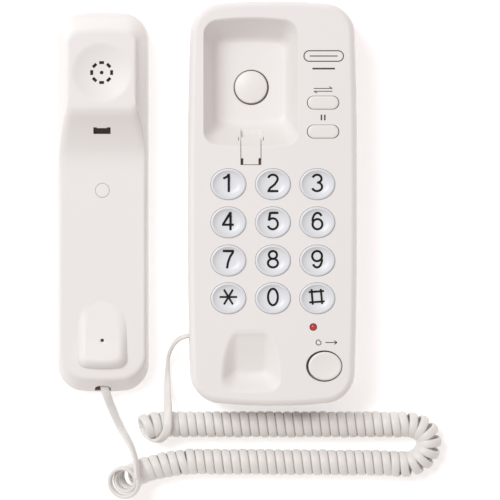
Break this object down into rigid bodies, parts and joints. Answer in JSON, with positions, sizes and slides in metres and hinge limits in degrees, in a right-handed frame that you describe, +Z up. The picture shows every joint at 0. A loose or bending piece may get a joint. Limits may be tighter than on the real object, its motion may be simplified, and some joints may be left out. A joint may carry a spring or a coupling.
{
  "type": "wall phone",
  "caption": "Slimline push-button wall telephone: a flat base with a sunk cradle and dished keys, its handset lying face up beside it, and a curly cord joining the two.",
  "frame": {"origin": "on the surface that the phone lies on, under the middle of the base and the handset together", "axes": "+Z up out of the keys, +Y towards the ear end, +X to the right of someone who reads the keys"},
  "size_m": [0.2046, 0.2632, 0.0395],
  "materials": {
    "shell": "satin moulded warm white",
    "button": "satin moulded warm white",
    "keycap": "glossy bluish grey with a black digit",
    "cord": "soft matt jacket",
    "board": "green solder mask",
    "rubber": "matt dark grey",
    "steel": "plain zinc-plated",
    "black_plastic": "matt black",
    "clear_plastic": "clear moulded",
    "lamp": "red translucent"
  },
  "bodies": {
    "base": {"base_top_cover": "shell", "base_bottom_cover": "shell", "main_board": "board", "key_mat": "rubber", "lamp_lens": "lamp", "hook_spring": "steel", "hook_switch": "black_plastic", "sounder": "black_plastic", "ringer_switch": "steel", "tone_switch": "steel", "line_jack": "black_plastic", "base_cord_jack": "black_plastic", "foot_1": "rubber", "foot_2": "rubber", "foot_3": "rubber", "foot_4": "rubber", "base_screw_1": "steel", "base_screw_2": "steel", "base_screw_3": "steel", "base_screw_4": "steel", "board_screw_1": "steel", "board_screw_2": "steel", "cord_base_plug": "clear_plastic", "cord_base_tail": "cord", "cord_coil_lower": "cord", "cord_coil_upper": "cord"},
    "handset": {"handset_front_cover": "shell", "handset_back_cover": "shell", "receiver_capsule": "black_plastic", "receiver_gasket": "rubber", "microphone": "steel", "microphone_boot": "rubber", "handset_weight": "steel", "handset_cord_jack": "black_plastic", "screw_plug": "button", "handset_screw": "steel", "cord_handset_plug": "clear_plastic", "cord_handset_tail": "cord"},
    "key_1": {"key_1": "keycap"},
    "key_2": {"key_2": "keycap"},
    "key_3": {"key_3": "keycap"},
    "key_4": {"key_4": "keycap"},
    "key_5": {"key_5": "keycap"},
    "key_6": {"key_6": "keycap"},
    "key_7": {"key_7": "keycap"},
    "key_8": {"key_8": "keycap"},
    "key_9": {"key_9": "keycap"},
    "key_star": {"key_star": "keycap"},
    "key_0": {"key_0": "keycap"},
    "key_hash": {"key_hash": "keycap"},
    "flash_button": {"flash_button": "button"},
    "hold_button": {"hold_button": "button"},
    "redial_button": {"redial_button": "button"},
    "hook_button": {"hook_button": "button"},
    "wall_hook_tab": {"wall_hook_tab": "button"},
    "ringer_switch_knob": {"ringer_switch_knob": "black_plastic"},
    "tone_switch_knob": {"tone_switch_knob": "black_plastic"}
  },
  "joints": [
    {"name": "handset_lift", "type": "slide", "parent": "base", "child": "handset", "axis": [0, 0, 1], "range_m": [0, 0.1]},
    {"name": "key_1_press", "type": "slide", "parent": "base", "child": "key_1", "axis": [0, 0, -1], "range_m": [0, 0.0015], "stiffness_N_per_m": 400},
    {"name": "key_2_press", "type": "slide", "parent": "base", "child": "key_2", "axis": [0, 0, -1], "range_m": [0, 0.0015], "stiffness_N_per_m": 400},
    {"name": "key_3_press", "type": "slide", "parent": "base", "child": "key_3", "axis": [0, 0, -1], "range_m": [0, 0.0015], "stiffness_N_per_m": 400},
    {"name": "key_4_press", "type": "slide", "parent": "base", "child": "key_4", "axis": [0, 0, -1], "range_m": [0, 0.0015], "stiffness_N_per_m": 400},
    {"name": "key_5_press", "type": "slide", "parent": "base", "child": "key_5", "axis": [0, 0, -1], "range_m": [0, 0.0015], "stiffness_N_per_m": 400},
    {"name": "key_6_press", "type": "slide", "parent": "base", "child": "key_6", "axis": [0, 0, -1], "range_m": [0, 0.0015], "stiffness_N_per_m": 400},
    {"name": "key_7_press", "type": "slide", "parent": "base", "child": "key_7", "axis": [0, 0, -1], "range_m": [0, 0.0015], "stiffness_N_per_m": 400},
    {"name": "key_8_press", "type": "slide", "parent": "base", "child": "key_8", "axis": [0, 0, -1], "range_m": [0, 0.0015], "stiffness_N_per_m": 400},
    {"name": "key_9_press", "type": "slide", "parent": "base", "child": "key_9", "axis": [0, 0, -1], "range_m": [0, 0.0015], "stiffness_N_per_m": 400},
    {"name": "key_star_press", "type": "slide", "parent": "base", "child": "key_star", "axis": [0, 0, -1], "range_m": [0, 0.0015], "stiffness_N_per_m": 400},
    {"name": "key_0_press", "type": "slide", "parent": "base", "child": "key_0", "axis": [0, 0, -1], "range_m": [0, 0.0015], "stiffness_N_per_m": 400},
    {"name": "key_hash_press", "type": "slide", "parent": "base", "child": "key_hash", "axis": [0, 0, -1], "range_m": [0, 0.0015], "stiffness_N_per_m": 400},
    {"name": "flash_press", "type": "slide", "parent": "base", "child": "flash_button", "axis": [0, 0, -1], "range_m": [0, 0.0015], "stiffness_N_per_m": 400},
    {"name": "hold_press", "type": "slide", "parent": "base", "child": "hold_button", "axis": [0, 0, -1], "range_m": [0, 0.0015], "stiffness_N_per_m": 400},
    {"name": "redial_press", "type": "slide", "parent": "base", "child": "redial_button", "axis": [0, 0, -1], "range_m": [0, 0.0015], "stiffness_N_per_m": 400},
    {"name": "hook_press", "type": "slide", "parent": "base", "child": "hook_button", "axis": [0, 0, -1], "range_m": [0, 0.003], "stiffness_N_per_m": 150, "deforming": ["hook_spring"]},
    {"name": "wall_hook_slide", "type": "slide", "parent": "base", "child": "wall_hook_tab", "axis": [0, 1, 0], "range_m": [0, 0.014]},
    {"name": "ringer_slide", "type": "slide", "parent": "base", "child": "ringer_switch_knob", "axis": [0, 1, 0], "range_m": [-0.0024, 0.0024]},
    {"name": "tone_slide", "type": "slide", "parent": "base", "child": "tone_switch_knob", "axis": [0, 1, 0], "range_m": [-0.0039, 0.0039]}
  ]
}
